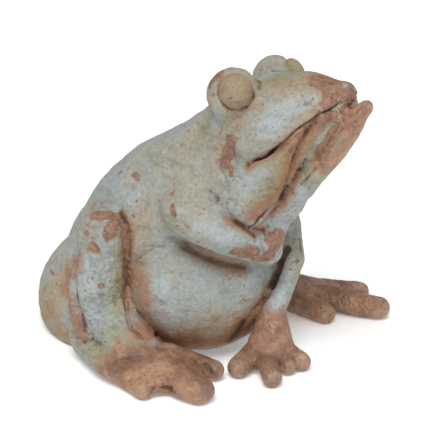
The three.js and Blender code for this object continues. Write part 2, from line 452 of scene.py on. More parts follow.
# Creases, folds and ridges: the line of each, and its width and depth, which is negative for a ridge
creases = {
    "mouth": {"width": 0.5, "depth": 2, "bothSides": True, "line": [
        (-18.3, -11.2, 71.5), (-17.8, -13.2, 73.1), (-17, -16.8, 75), (-16, -19.4, 77.5), (-15.5, -22.3, 80.5),
        (-14.4, -25.6, 84), (-12.7, -28.5, 86.6), (-9.7, -31.3, 89.2), (-6.9, -33.1, 90), (-5.2, -34.4, 91.2),
        (-3.8, -35.1, 92.8),
    ]},
    "lip edge": {"width": 1.5, "depth": -0.5, "bothSides": True, "line": [
        (-18, -12.6, 74.4), (-17.2, -16.7, 76.9), (-16.6, -20.3, 80), (-15.1, -24.3, 84.2), (-13.1, -27.4, 87.4),
        (-10.3, -30.1, 89.8),
    ]},
    "under lip": {"width": 1, "depth": 0.25, "bothSides": True, "line": [
        (-18, -14.5, 72.5), (-16.8, -18.4, 74.8), (-15.4, -21.3, 77.7), (-14.4, -24.5, 81.2), (-13, -27.8, 84.6),
        (-11.3, -30.1, 87.1),
    ]},
    "lip of the jaw": {"width": 1.1, "depth": -0.3, "bothSides": True, "line": [
        (-17.7, -16.4, 72.9), (-16, -20.3, 75.8), (-14.9, -23.8, 79), (-13.6, -26.1, 82), (-12.5, -28.5, 85.1),
    ]},
    "corner of the mouth": {"width": 1.2, "depth": 0.7, "bothSides": True, "line": [
        (-18.4, -10, 70.5), (-18.3, -11.7, 71.5),
    ]},
    "snout tip": {"width": 1.3, "depth": 0.8, "line": [(3.1, -28.5, 96), (-2.3, -33.1, 95.9), (-3.6, -34.9, 93.5)]},
    "lip tip": {"width": 0.8, "depth": 1, "line": [(-2, -35.9, 89.9), (-0.4, -36.2, 90.6), (2, -35.7, 91)]},
    "throat": {"width": 0.9, "depth": 1.6, "line": [
        (-9.9, -31.5, 87.6), (-11.7, -29.5, 85.1), (-12.9, -27.5, 81.2), (-13.4, -26.1, 77.4), (-12.3, -23.9, 72.7),
        (-10.9, -21.8, 68.2), (-9.5, -19.2, 63.2), (-9.5, -17, 59.1), (-12.9, -15.7, 56.7), (-15.3, -13.8, 54.3),
    ]},
    "arm top": {"width": 1.1, "depth": 0.6, "line": [
        (-25.1, -0.3, 58), (-23.3, -3.3, 56.6), (-21.4, -6.5, 54.8), (-19.1, -9.3, 52), (-15.3, -11.2, 48.5),
        (-14.2, -12.2, 46.4),
    ]},
    "arm pit": {"width": 1.6, "depth": 0.5, "line": [(-18.2, -9.9, 51.4), (-15.5, -10.6, 49.7)]},
    "under the arm": {"width": 1.3, "depth": 1.3, "line": [
        (-26.1, 16, 44.2), (-24.6, 13.2, 43.5), (-22.6, 10.7, 42.3), (-20.7, 7.2, 40.4), (-18.8, 3.2, 38.3),
        (-15.2, -0.5, 36.4), (-10.9, -3.3, 34.7), (-7, -5, 33.1),
    ]},
    "leg and belly": {"width": 0.8, "depth": 0.9, "bothSides": True, "line": [
        (-27.8, 31.4, 49.7), (-28.6, 28.2, 47.2), (-29.2, 26.8, 43.9), (-29.4, 26.8, 39.2), (-29.6, 26.9, 33.2),
        (-30.8, 26.2, 27.3), (-32.8, 24.7, 21.9), (-35.1, 22.5, 18.9), (-36.5, 20.2, 16.1), (-35.8, 16.5, 13.6),
        (-25.1, 17, 8), (-20.3, 13.7, 5.6),
    ]},
    "leg and rump": {"width": 1.8, "depth": 1.6, "bothSides": True, "line": [
        (-39.5, 37.5, 40.8), (-39.9, 39.1, 37.6), (-40.9, 39.6, 33.3), (-42.7, 38.5, 28.2), (-43.8, 36.8, 23.5),
        (-43.8, 35.1, 19), (-43.3, 34.5, 14.9), (-42.5, 34.7, 10),
    ]},
    "slit by the leg": {"width": 0.6, "depth": 1, "line": [
        (-39.4, 37.4, 41.1), (-39.9, 38.3, 38.8), (-40.1, 38.8, 37.4),
    ]},
    "belly fold": {"width": 0.5, "depth": 0.35, "line": [
        (-28.8, 25.2, 33.8), (-28, 22.2, 36.9), (-26.7, 18.1, 40.1), (-24.9, 14.5, 41),
    ]},
    "belly fold 2": {"width": 0.5, "depth": 0.3, "line": [(-29.1, 25.9, 32.2), (-28.8, 24.1, 34), (-28.6, 22.2, 35)]},
    "elbow notch": {"width": 0.7, "depth": 0.8, "line": [
        (-12.2, -12.1, 46.8), (-12.4, -13.2, 43.4), (-10.8, -12.8, 38.9),
    ]},
    "elbow fold": {"width": 0.5, "depth": 0.6, "line": [
        (-11.9, -10.1, 37.6), (-11.7, -12.2, 38.8), (-9.6, -12.9, 37.8),
    ]},
    "cheek fold": {"width": 0.6, "depth": 0.6, "bothSides": True, "line": [
        (-17.6, -0.1, 69.4), (-17.7, -1.2, 66.5), (-18.6, -3.4, 64.5),
    ]},
    "cheek fold 2": {"width": 0.5, "depth": 0.35, "bothSides": True, "line": [
        (-17.6, -3.9, 67), (-19.5, -7.3, 65.8),
    ]},
    "wrist fold": {"width": 0.6, "depth": 0.7, "line": [(-6.9, -28.4, 71), (-7.1, -25.9, 67.8), (-7.6, -23.4, 64.7)]},
    "belly and arm": {"width": 0.9, "depth": 0.7, "line": [
        (6.3, -9.3, 34.9), (4.5, -8.2, 31.8), (2.4, -7.9, 27.9), (-0.1, -8.2, 25), (-1.8, -8.1, 23.1),
        (-4.2, -6.9, 20.3), (-6.8, -5.2, 17.4), (-8.9, -2.9, 13.2),
    ]},
    "foot hollow": {"width": 1.8, "depth": 1.5, "line": [(-47.7, 2.9, 4.6), (-45.8, 0.9, 3.4), (-44, -1.9, 2.8)]},
    "foot top": {"width": 4, "depth": 0.7, "line": [
        (-43.4, 19, 10.5), (-44, 10.5, 8.7), (-43.1, 1.5, 7.3), (-41.6, -5.1, 7.3),
    ]},
    "inner toe": {"width": 0.8, "depth": 0.9, "line": [(-26.9, -1, 6.9), (-27.5, -3.2, 5.3), (-27.4, -4.7, 2.9)]},
    "thumb and finger": {"width": 1, "depth": 0.7, "line": [
        (-6, -34.4, 87.5), (-6.9, -34, 83.9), (-8, -31.3, 78.7), (-7.4, -26.7, 72.8),
    ]},
    "finger and palm": {"width": 0.8, "depth": 0.3, "line": [
        (-4.3, -38.8, 88.2), (-5.8, -37.8, 85), (-7.1, -35.9, 81.3),
    ]},
    "far foot": {"width": 0.8, "depth": -0.5, "line": [(32, 4.8, 7.7), (31.1, -2.4, 6.6), (31.7, -7.6, 6.3)]},
}
for name, eyeball, mount, depth in (
    ("right eye", rightBall, rightMount, 1.1),
    ("left eye", leftBall, leftMount, 0.5),
):
    creases[name] = {"line": ringRound(eyeball[0], mount[0]), "width": 0.7, "depth": depth}
for name in [name for name, crease in creases.items() if crease.pop("bothSides", False)]:
    creases["left " + name] = {**creases[name], "line": otherSide(creases[name]["line"])}
narrow = {"below": 1.6, "reach": 1.8} # creases whose surroundings need the finer mesh, and how far round them
finer(figure, [crease["line"] for crease in creases.values() if crease["width"] < narrow["below"]], narrow["reach"])
for crease in creases.values():
    press(figure, **crease)
print("creases pressed:", len(creases), "lines,", len(figure.data.vertices), "points")


# Lumps and dents all over, of the given size and depth in millimetres.
def uneven(lump, size, depth):
    pattern = bpy.data.textures.new("uneven", "CLOUDS")
    pattern.noise_scale = size / mmPerMetre
    settings = {"texture": pattern, "texture_coords": "LOCAL", "mid_level": 0.5}
    modify(lump, "DISPLACE", strength=depth / mmPerMetre, **settings)


for size, depth in sculpt["uneven"]:
    uneven(figure, size, depth)


def cut(piece, cutter, operation):
    modify(piece, "BOOLEAN", operation=operation, object=cutter, solver="MANIFOLD")


def copied(piece, name):
    only(piece)
    bpy.ops.object.duplicate()
    twin = bpy.context.object
    twin.name = twin.data.name = name
    return twin


# Crumbs that a cut leaves are thrown away.
def biggestOf(piece):
    name = piece.name
    only(piece)
    bpy.ops.object.mode_set(mode="EDIT")
    bpy.ops.mesh.select_all(action="SELECT")
    bpy.ops.mesh.separate(type="LOOSE")
    bpy.ops.object.mode_set(mode="OBJECT")
    crumbs = sorted(bpy.context.selected_objects, key=lambda crumb: len(crumb.data.vertices))
    kept = crumbs.pop()
    for crumb in crumbs:
        discard(crumb)
    kept.name = kept.data.name = name
    return kept


skin = figure.data.copy() # the whole surface, before it is parted
skinPoints, skinNormals = readPoints(figure), readNormals(figure)

# What is below the ground is cut off, and the clay is hollowed from below, as for firing.
bpy.ops.mesh.primitive_cube_add(size=1, location=(0, 0, -0.5)) # its top is the ground
ground = bpy.context.object
cut(figure, ground, "DIFFERENCE")
discard(ground)
hollow = pressed("hollow", lumps(torso + skull + jaw, grow=-sculpt["wall"]), sculpt["hollowGrain"])
cut(figure, hollow, "DIFFERENCE")
discard(hollow)
print("hollowed:", len(figure.data.vertices), "points")

# How far beyond its own balls and rolls each piece takes the clay, in millimetres, in the order of parting
growth = {
    **dict.fromkeys(["right_eyeball", "left_eyeball"], 0.6),
    **dict.fromkeys(["right_eye_mount", "left_eye_mount"], 2),
    **dict.fromkeys(["right_hand", "right_forearm", "right_upper_arm"], 3),
    **dict.fromkeys(["left_hand", "left_forearm", "left_upper_arm"], 3),
    **dict.fromkeys(["right_foot", "left_foot", "right_leg", "left_leg"], 3),
    **dict.fromkeys(["head_shell", "lower_jaw"], 4),
}
pieces = {}
for name, grow in growth.items():
    form = pressed("form", lumps(shapes[name], grow), sculpt["formGrain"])
    piece = copied(figure, name + "_clay")
    cut(piece, form, "INTERSECT")
    cut(figure, form, "DIFFERENCE")
    discard(form)
    pieces[name] = biggestOf(piece)
figure.name = "torso_clay"
pieces["torso_shell"] = biggestOf(figure)
print("parted into", len(pieces), "pieces:", {name: len(piece.data.vertices) for name, piece in pieces.items()})

# Marks painted on the surface: each runs along a line, or sits at one point, with a radius and a strength.
marks = {}
marks["bare"] = [ # bare clay
    ([(-33.9, 34, 49.7), (-31.6, 32, 49.4), (-30.7, 29.9, 47.6)], 3, 0.95), # knee
    ([(-33.3, 29.8, 46.8), (-35.4, 29.7, 44.1)], 2.4, 0.9),
    ([ # shin edge
        (-28.8, 30.6, 48.5), (-29.2, 28.3, 45.2), (-29.7, 27.4, 39.9), (-30.6, 27, 34.5), (-32.8, 25.3, 22.7),
    ], 2, 0.95),
    ([(-38.9, 32.5, 41.2), (-38.8, 31.4, 40.1)], 1.5, 1), # spots on the shin
    ([(-38.5, 35.6, 44.7)], 1.3, 0.7),
    ([(-40.6, 28.8, 29.3)], 1.2, 0.9),
    ([(-41.6, 30.9, 31.8)], 0.6, 0.9),
    ([(-17.8, -5, 77.9), (-16.6, -3.8, 74.7), (-16.4, -2.1, 71.8), (-16.8, -1.7, 69.6)], 2.1, 1), # cheek
    ([(-16.5, -3, 69.4), (-17.9, -4.8, 67)], 1, 0.9),
    ([(-30.4, 8.2, 57.2), (-31, 7.2, 55)], 1.1, 1), # upper arm
    ([(-27.4, 10.5, 60.3)], 1.2, 0.8),
    ([(-30.6, 6, 51.5)], 0.8, 0.8),
    ([(-21.3, -8.8, 43.6), (-18.2, -10.4, 42.3), (-14.5, -11.5, 40.4)], 2.2, 1), # elbow
    ([(-18, -11.3, 44.5), (-14.3, -12.5, 42.2)], 1.6, 0.9),
    ([
        (-9.6, -13.6, 45.7), (-8.3, -15.3, 47), (-6.6, -15.3, 43.7), (-9.2, -14.1, 41.6), (-10.2, -13.3, 39.1),
    ], 2.4, 1),
    ([(-0.8, -25.7, 96.6), (-2.6, -29, 96.1), (-5.3, -32.2, 94.9)], 3.2, 0.95), # snout
    ([(-1.3, -35.7, 92.7), (0.5, -35.5, 93.5)], 2.6, 0.75), # lip
    ([(-7.7, -31.8, 91.1), (-6.1, -33.6, 92.6)], 1.8, 0.8),
    ([(-16.3, 1.4, 97), (-18.5, 2.7, 94.2)], 2.2, 0.9), # eye mount
    ([(-19.2, 38, 58.4)], 1.3, 0.8), # back
    ([(-21.4, 30.8, 60.3), (-22.8, 27.7, 60.1)], 1.2, 0.7),
    ([(-25.6, 63.4, 21), (-27.7, 60.3, 21)], 1, 0.7), # flank
    ([(-8.4, -32.4, 89), (-6.6, -33.6, 87.8)], 2, 0.8), # thumb
    ([(-7.2, -34.6, 82.9), (-8, -32.3, 78.9), (-7.7, -29.4, 75.1)], 2, 1), # palm
    ([(-5.9, -36.5, 85.7), (-4.7, -39.1, 87.1)], 2.2, 0.9), # finger
    ([(-3.2, -40.8, 89.6), (-1.6, -42.5, 91.6)], 2.2, 0.6),
    ([(11.8, -10.2, 37.3), (10.4, -11.6, 34.7)], 0.9, 0.8), # left arm
    ([(7.3, -12.2, 32.1)], 1, 0.6),
    ([(-10.5, -31, 87.7), (-12.1, -28.6, 84.3), (-13.4, -26.7, 80.5), (-14.5, -24.6, 77.2)], 1.6, 0.75), # jaw
    ([(-7.1, -11.5, 14.9), (-7.6, -13.4, 12.8)], 2, 0.9), # left wrist
]
marks["rust"] = [ # rust-brown stain
    ([ # mouth
        (-18.4, -11.1, 71), (-17.4, -15.9, 74), (-15.9, -19.9, 76.9), (-14.8, -24.1, 81.6), (-12.9, -28.1, 85.6),
        (-9.9, -31.3, 88.5),
    ], 2.2, 1),
    ([(-10, -31.4, 87.6), (-11.7, -29.4, 84.9), (-13.1, -27.2, 80.5), (-13.7, -25.6, 77.2)], 4, 1), # jaw
    ([ # throat
        (-13.1, -25.2, 75.7), (-12.2, -22.8, 70.5), (-11.4, -20.5, 65.7), (-12.3, -18.7, 62), (-14.9, -16.4, 59),
        (-17.1, -13.6, 55.9),
    ], 4.2, 1),
    ([ # forearm
        (-7.6, -21.8, 69), (-8.3, -19.9, 62.4), (-9, -17.1, 57.4), (-11.3, -13.9, 53.5), (-14, -10.7, 50),
    ], 2.2, 0.9),
    ([(-22, -6.7, 54.1), (-19.4, -9.4, 51.3), (-15.8, -11.3, 48.4), (-11.7, -11.3, 49)], 2.4, 0.9), # arm pit
    ([ # under the arm
        (-21.9, 9.5, 41), (-20.5, 5.9, 39.4), (-18.3, 2.1, 37.3), (-14.7, -1.4, 35.3), (-9.9, -4, 33.7),
    ], 3.4, 0.8),
    ([ # leg and belly
        (-28, 30, 49.1), (-28.8, 27.1, 46), (-29.3, 26.2, 40.3), (-29.2, 26.6, 33.5), (-30.4, 25.9, 27.2),
        (-32, 24.5, 21.6), (-34.5, 21.8, 18.1),
    ], 2.4, 0.85),
    ([ # belly side
        (-28.7, 24.9, 34.4), (-30.4, 22.1, 29.6), (-30.9, 20.2, 23.4), (-29.5, 18.9, 17.1), (-26.7, 17.2, 11.7),
    ], 6, 0.7),
    ([(-35.2, 17.6, 14.4), (-24.8, 17.2, 8.9), (-20.1, 11.6, 6.3), (-5.6, -1.8, 9.9)], 5.5, 1), # belly foot
    ([(-0.6, -7.5, 24.6), (-3.9, -6.7, 21.1), (-8, -5.1, 17.9), (-10.8, -2.4, 13.4)], 3.4, 0.9), # belly by the arm
    ([(4.4, -8.1, 31.7), (2.5, -7.5, 28), (-0.1, -7.5, 25.1)], 1.8, 0.7),
    ([ # leg and rump
        (-41, 38.2, 35.2), (-29.7, 51, 23.7), (-31.9, 50.1, 19.4), (-42.6, 39.9, 20.6), (-43.4, 37.6, 17),
        (-43, 36.1, 12.5),
    ], 4.6, 0.85),
    ([(-33.6, 56, 7.1), (-33.9, 50.6, 4.1)], 8, 0.6), # rump: a rust stain, widened into painted shade low on the rump
    ([(-23.5, 46.3, 46), (-27.4, 36.2, 50.2), (-27.4, 31.3, 50.3)], 3.4, 0.4), # top of the knee
    ([(-16.6, -10.7, 94.3), (-15.5, -10.7, 89.7), (-17.6, -7.8, 85.9)], 3.6, 0.55), # under the eye
    ([(-16.7, -1.9, 73.7), (-17, -1.8, 68.7)], 3.4, 0.4), # cheek
    ([(-4, -26.4, 96), (-4.9, -32.7, 94.9), (-2.9, -35.3, 93)], 4.5, 0.6), # snout
    ([(-8.8, -9.5, 93.7), (-5.7, -15.7, 95.7), (-5.7, -22.9, 95.8)], 5, 0.35), # head
    ([(-43.2, 34, 8.3), (-47.8, 23.5, 6.1)], 4, 0.3), # ankle
]
marks["moss"] = [ # olive stain
    ([(-15.2, -22, 73.7), (-15.6, -20.1, 69), (-16.6, -17.6, 64.3), (-18.3, -14.4, 60.2)], 3.6, 0.9), # throat
    ([(-32.3, 27.5, 39), (-34, 26.3, 31.4), (-35.3, 25.8, 23.5), (-39.1, 23.6, 17.9)], 3.4, 0.8), # shin
    ([(-41.5, 23.7, 15.3), (-41.5, 19.7, 13), (-39.7, 14, 11.2)], 4.4, 0.8), # ankle
    ([(-43.1, 29.5, 9.8), (-45.7, 22.8, 8.9), (-46, 16.9, 8.7)], 3.8, 0.8),
    ([(11.8, -5.4, 93.4), (1.3, -15.2, 96.4)], 3, 0.9), # by the left eye
    ([(-15.3, 6.7, 79.9), (-16.8, 7.8, 76.3)], 3, 0.7), # neck
    ([(-18.6, -8.5, 96.9)], 3, 0.4), # eye mount
    ([(-6.4, -8.6, 16.3), (-5.5, -14.9, 13.5)], 3, 0.6), # left wrist
    ([(-7.4, -27.1, 73.3), (-7.1, -24.8, 68.9)], 2.6, 0.6), # palm
    ([(-17.1, -2, 29.5), (-20.2, -0.4, 25.1)], 6, 0.25), # belly
    ([(-24.2, 38.1, 52.5), (-37.4, 35.2, 47.1)], 5, 0.35), # back
]
marks["chalk"] = [ # pale wash
    ([(-17.2, -16, 83.1), (-14.8, -18.6, 86.7), (-12.1, -22.1, 89.8), (-9.7, -25, 92.2)], 4.2, 0.9), # head
    ([(-20.8, -0.9, 87.9), (-17, 1.6, 82)], 3.4, 0.8), # neck
    ([(-19.2, -8.3, 67.5), (-19.8, -11.7, 66.5)], 3.4, 0.8), # throat
    ([(-19.1, -13.5, 60.9), (-17.5, -16.1, 62.3)], 3, 0.6),
    ([(-29.2, 0, 52.5), (-27.2, -4.6, 51), (-24, -8.2, 48.3)], 3.6, 0.8), # upper arm
    ([(-7.1, -23.5, 62.2), (3, -15.3, 50.7), (10.2, -7.4, 41.3)], 2.4, 0.9), # forearm
    ([(-29.6, 13.9, 29.7), (-29.8, 12.6, 25), (-28.1, 11.2, 18)], 4.6, 0.8), # belly
    ([(-6.1, -5.5, 31.8), (-9.7, -5.4, 27.9)], 4, 0.6),
    ([(-41.2, 33.9, 36.3), (-42.9, 31.9, 27.9), (-42.5, 30.9, 17.8)], 3.4, 0.7), # shin
    ([(-25, 25.1, 57.3), (-26.4, 27.3, 53.9)], 4, 0.6), # back
    ([(6.4, -11.7, 31.9), (0.7, -12, 24.3), (-3.6, -12, 20.3)], 2, 0.8), # left arm
]
marks["creaseShade"] = [ # painted shade: near-black along creases, slits, nostrils and pits
    ([ # mouth
        (-18.3, -11.2, 71.4), (-17.9, -13.3, 72.9), (-17, -16.8, 74.9), (-16, -19.5, 77.3), (-15.4, -22.3, 80.3),
        (-14.4, -25.7, 83.9), (-12.6, -28.5, 86.5), (-9.7, -31.3, 89.1), (-6.4, -33.5, 89.9), (-4.1, -35.1, 92.1),
    ], 0.6, 1),
    ([ # throat
        (-10.9, -30.6, 86.5), (-12.3, -28.1, 82.3), (-13.3, -26.3, 77.9), (-12.3, -24.1, 73.1), (-10.7, -21.7, 67.9),
        (-9.5, -19.1, 62.9), (-9.8, -16.8, 58.7), (-13, -15.5, 56.5), (-15.7, -13.4, 53.7), (-15.9, -10.5, 50.2),
    ], 0.9, 1),
    ([(-20.2, -8.4, 53), (-17.1, -10.3, 50.2), (-14.9, -11.7, 47.5)], 1.3, 0.9), # arm pit
    ([ # leg and belly
        (-28, 30.8, 49.3), (-28.7, 27.9, 46.5), (-29.3, 26.6, 41.6), (-29.5, 26.7, 34.2), (-30.7, 26.1, 27.3),
        (-32.6, 24.6, 21.8), (-34.9, 22.4, 18.8), (-36.4, 19.9, 15.9), (-35.5, 16.2, 13.5),
    ], 1, 0.9),
    ([ # belly and arm
        (6.7, -9.1, 35.6), (5.2, -8.4, 33.5), (4.4, -8.1, 31.7), (2.3, -7.9, 27.8), (-0.1, -8.1, 25),
    ], 1.7, 1.2),
    ([(-9.5, -3.4, 14.6), (-9.7, -1.7, 11.4), (-9.2, 1.9, 6.7)], 2.6, 0.9), # belly foot
    ([(-27, 16.2, 9), (-18.6, 12.8, 4.7)], 1.8, 0.8),
    ([(-39.5, 37.6, 40.9), (-39.9, 38.7, 38.1)], 0.6, 1), # slit by the leg
    ([(-6.9, -28.4, 71), (-7.1, -25.9, 67.8), (-7.6, -23.4, 64.7)], 0.5, 0.9), # wrist
    ([(-9.9, -30.9, 89.4), (-11.7, -29.7, 86.2), (-12.7, -27.6, 81.7)], 1.2, 0.8), # thumb
    ([(-17.6, -0.3, 68.8), (-17.8, -1.6, 66), (-18.6, -3.4, 64.5)], 0.6, 0.7), # cheek fold
    ([(-18.1, -4.9, 66.8), (-19.5, -7.1, 65.7)], 0.5, 0.6),
    ([(-47.6, 2.6, 4.6), (-45.6, 0.7, 3.4), (-44, -2.3, 3)], 1.6, 0.85), # between the toes
    ([(-6.2, -19.4, 6), (-4.2, -20.7, 5.6)], 1, 0.6), # left hand
    ([(-9.3, -20.8, 4.1), (-8.5, -21.8, 2.7)], 1, 0.6),
    ([(-3, -23.7, 96.5)], 0.5, 1), # nostrils
    ([(-5.7, -25, 95.5)], 0.5, 1),
    ([(-16.3, -13.7, 85.7)], 0.45, 0.8), # pits
    ([(-17.4, -18.9, 81.1)], 0.4, 0.8),
]
marks["earth"] = [ # rubbed brown clay, without wash
    ([(-42, 14, 1), (-38, 4, 2), (-39, -9, 3)], 13, 1), # feet
    ([(-25, 6, 4), (-24, -4, 3)], 9, 1),
    ([(33, 40, 2), (38, 20, 3), (45, -12, 3)], 19, 1),
    ([(-2, -9, 11), (-6, -12, 3), (-17, -9, 2)], 9, 1), # hands
    ([(-5, -14, 3), (-15, -20, 2)], 9, 1),
    ([(-5, -14, 3), (-3, -21, 2)], 8, 1),
    ([(-2, -31, 74), (0, -36, 82), (0, -42, 91)], 6.5, 1),
]
marks["tan"] = [ # tan stain
    ([(-11, -10, 94), (-6, -20, 96), (0, -26, 97)], 7, 0.9), # top of the head
    ([(-14, 0, 97), (-19, 2, 90)], 6, 0.7),
    ([(-17, -3, 80), (-18, 2, 70)], 6, 0.6), # cheek
    ([(-18, 8, 78), (-22, 18, 64)], 6, 0.4), # neck and shoulder
    ([(-28, 18, 55), (-27, 22, 47)], 7, 0.55),
    ([(-28, 50, 45), (-36, 56, 25)], 12, 0.6), # haunch
    ([(0, 72, 30), (0, 66, 10)], 18, 0.6),
    # tan mark added as painted shade low on the rump
    ([(-32, 56, 14), (-30, 62, 8)], 13, 0.8),
    ([(-20, 2, 44), (-10, -12, 38)], 4, 0.5), # under the arm
    ([(-22, 5, 12), (-8, 0, 8)], 13, 0.9), # foot of the belly
    ([(-28, 24, 30), (-28, 22, 14)], 9, 0.8),
    ([(-38, 38, 46), (-33, 30, 47)], 8, 0.6), # knee
    ([(-36, 24, 16), (-34, 24, 24)], 7, 0.7),
    ([(14, 4, 46), (7, -12, 28)], 6, 0.5), # left arm
]
marks["peel"] = [ # pitted like a peel
    ([(-39, 31, 42), (-40, 29, 14)], 10, 1), # right leg
    ([(-45, 22, 5), (-44, 0, 4)], 8, 0.6), # right foot
    ([(38, 30, 5), (46, -10, 3)], 14, 1), # left foot
]
# The ring where each eyeball sits in its mount is darkened with painted shade too.
for name, strength in (("right eye", 0.9), ("left eye", 0.5)):
    marks["creaseShade"].append((creases[name]["line"], 0.5, strength))

# Marks on the right flank are on the left one too, and so are those on the face, apart from the earth.
beside, above = -20, 66
for kind, spots in marks.items():
    for line, radius, strength in list(spots):
        if max(x for x, _, _ in line) < beside or min(z for _, _, z in line) > above and kind != "earth":
            spots.append((otherSide(line), radius, strength))


# How deep each point of the whole skin lies in a small hollow and in a broad dip: the skin is smoothed by so many
# more steps for each, and a point's way out to the smooth skin is its depth in millimetres.
whole = bpy.data.objects.new("whole", skin)
bpy.context.collection.objects.link(whole)
smoothing, sunk = {"hollows": 10, "dips": 60}, {}
for name, steps in smoothing.items():
    modify(whole, "SMOOTH", factor=0.5, iterations=steps)
    sunk[name] = ((readPoints(whole) - skinPoints) * skinNormals).sum(axis=1) * mmPerMetre
discard(whole)
finder = KDTree(len(skinPoints))
for index, point in enumerate(skinPoints):
    finder.insert(point, index)
finder.balance()

painting = {"rawBelow": 1.5, "spread": 2.5} # millimetres to where raw clay begins, and radii over which a mark fades


def paint(piece, name, values):
    layer = piece.data.attributes.new(name, "FLOAT", "POINT")
    layer.data.foreach_set("value", values.astype(np.float32))


def paintAll(piece):
    points = readPoints(piece)
    found = [finder.find(point) for point in points]
    nearest = np.array([index for _, index, _ in found])
    away = np.array([distance for _, _, distance in found])
    paint(piece, "raw", np.clip(away * mmPerMetre - painting["rawBelow"], 0, 1))
    for name, depths in sunk.items():
        paint(piece, name, depths[nearest])
    for kind, spots in marks.items():
        amount = np.zeros(len(points))
        for line, radius, strength in spots:
            which, away, _ = fromLine(points, line, radius * painting["spread"])
            amount[which] = np.maximum(amount[which], strength * np.exp(-((away / radius) ** 2)))
        paint(piece, kind, amount)


for piece in pieces.values():
    paintAll(piece)
print("painted")


# A shader socket that takes part in Python expressions.
class Wire:
    def __init__(self, shader, socket):
        self.shader, self.socket = shader, socket

    def maths(self, operation, first, second):
        return self.shader.node("ShaderNodeMath", {"operation": operation}, {0: first, 1: second})

    def __add__(self, other):
        return self.maths("ADD", self, other)

    def __radd__(self, other):
        return self.maths("ADD", other, self)

    def __sub__(self, other):
        return self.maths("SUBTRACT", self, other)

    def __rsub__(self, other):
        return self.maths("SUBTRACT", other, self)

    def __mul__(self, other):
        return self.maths("MULTIPLY", self, other)

    def __rmul__(self, other):
        return self.maths("MULTIPLY", other, self)


class Shader:
    gap, perRow = 220, 12 # how the nodes are laid out in the editor

    def __init__(self, name):
        self.material = bpy.data.materials.new(name)
        self.material.use_nodes = True
        self.tree = self.material.node_tree
        self.surface = self.tree.nodes["Principled BSDF"]

    # Any node: its type, its settings, the values or links of its sockets, and which output is read.
    def node(self, kind, settings=None, sockets=None, output=0):
        made = self.tree.nodes.new(kind)
        row, column = divmod(len(self.tree.nodes), self.perRow)
        made.location = (-self.gap * (1 + column), -self.gap * row)
        for name, value in (settings or {}).items():
            setattr(made, name, value)
        for name, value in (sockets or {}).items():
            self.feed(made, name, value)
        return Wire(self, made.outputs[output])

    def feed(self, made, name, value):
        if isinstance(value, Wire):
            self.tree.links.new(value.socket, made.inputs[name])
        else:
            made.inputs[name].default_value = value

    def painted(self, name):
        return self.node("ShaderNodeAttribute", {"attribute_name": name}, output="Fac")

    # Noise from 0 to 1 whose patches are about the given size in millimetres.
    def noise(self, size, detail=4, rough=0.55, stretch=(1, 1, 1), shift=0):
        where = self.node("ShaderNodeMapping", {}, {
            "Vector": self.node("ShaderNodeTexCoord", output="Object"),
            "Location": (shift, shift * 0.7, 0), # keeps two noises of one size apart
            "Scale": stretch,
        })
        return self.node("ShaderNodeTexNoise", {}, {
            "Vector": where, "Scale": mmPerMetre / size / 2, "Detail": detail, "Roughness": rough,
        })

    # Cells of the given size in millimetres: how far each point is from the middle of its own.
    def cells(self, size, kind="F1", **sockets):
        return self.node("ShaderNodeTexVoronoi", {"feature": kind}, {
            "Vector": self.node("ShaderNodeTexCoord", output="Object"),
            "Scale": mmPerMetre / size,
            "Randomness": 1,
            **sockets,
        })

    # Goes from 0 to 1 as the value goes from low to high.
    def step(self, value, low, high):
        return self.node("ShaderNodeMapRange", {"interpolation_type": "SMOOTHSTEP"}, {
            "Value": value, "From Min": low, "From Max": high, "To Min": 0, "To Max": 1,
        })

    def blend(self, amount, under, over, mode="MIX"):
        factor, first, second = 0, 6, 7 # the sockets of a colour mix
        return self.node("ShaderNodeMix", {"data_type": "RGBA", "blend_type": mode}, {
            factor: amount, first: under, second: over,
        }, output=2)

    # The height is in millimetres.
    def finish(self, colour, roughness, height):
        bump = self.node("ShaderNodeBump", {}, {"Height": height, "Distance": 1 / mmPerMetre, "Strength": 1})
        self.feed(self.surface, "Base Color", colour)
        self.feed(self.surface, "Roughness", roughness)
        self.feed(self.surface, "Normal", bump)
        return self.material


def tone(red, green, blue):
    return (red, green, blue, 1)


# The grain of the clay and its wash, from broad patches to grit: sizes in millimetres
grains = {
    "broad": {"size": 60, "detail": 3},
    "patches": {"size": 16, "detail": 6, "rough": 0.62},
    "small": {"size": 5, "detail": 5, "rough": 0.65, "shift": 3},
    "grit": {"size": 1.8, "detail": 3, "rough": 0.65},
    "strokes": {"size": 3.2, "detail": 4, "rough": 0.6, "stretch": (0.2, 0.2, 1), "shift": 7},
    "flecks": {"size": 3.2, "detail": 4, "rough": 0.6, "shift": 11},
    "chips": {"size": 2.6, "detail": 3, "rough": 0.6, "shift": 23},
}

